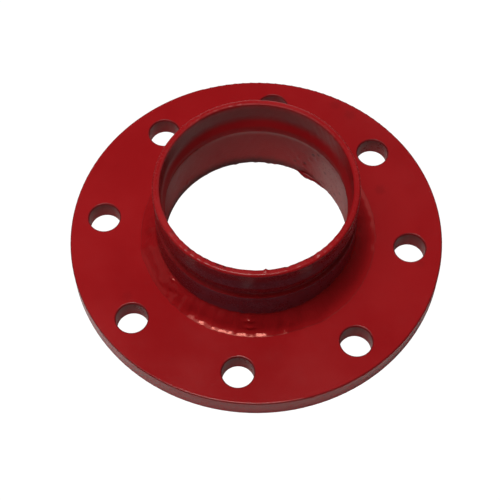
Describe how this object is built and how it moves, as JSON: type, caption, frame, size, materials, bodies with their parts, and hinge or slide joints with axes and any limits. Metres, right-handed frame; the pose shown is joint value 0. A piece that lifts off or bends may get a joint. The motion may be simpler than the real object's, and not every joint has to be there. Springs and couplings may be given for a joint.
{
  "type": "grooved-end flange adapter",
  "caption": "Welded steel flange adapter: a flat drilled flange around a short pipe nipple, whose free end has a rolled groove for a clamp-type pipe coupling.",
  "frame": {"origin": "centre of the flange's back (gasket) face, on the pipe axis", "axes": "+Z along the pipe axis from the flange towards the grooved end; the bolt holes straddle the X and Y axes"},
  "size_m": [0.215, 0.215, 0.065],
  "materials": {
    "red_paint": "gloss"
  },
  "bodies": {
    "root": {"flange_plate": "red_paint", "grooved_nipple": "red_paint", "outer_fillet_weld": "red_paint", "inner_fillet_weld": "red_paint"}
  },
  "joints": []
}
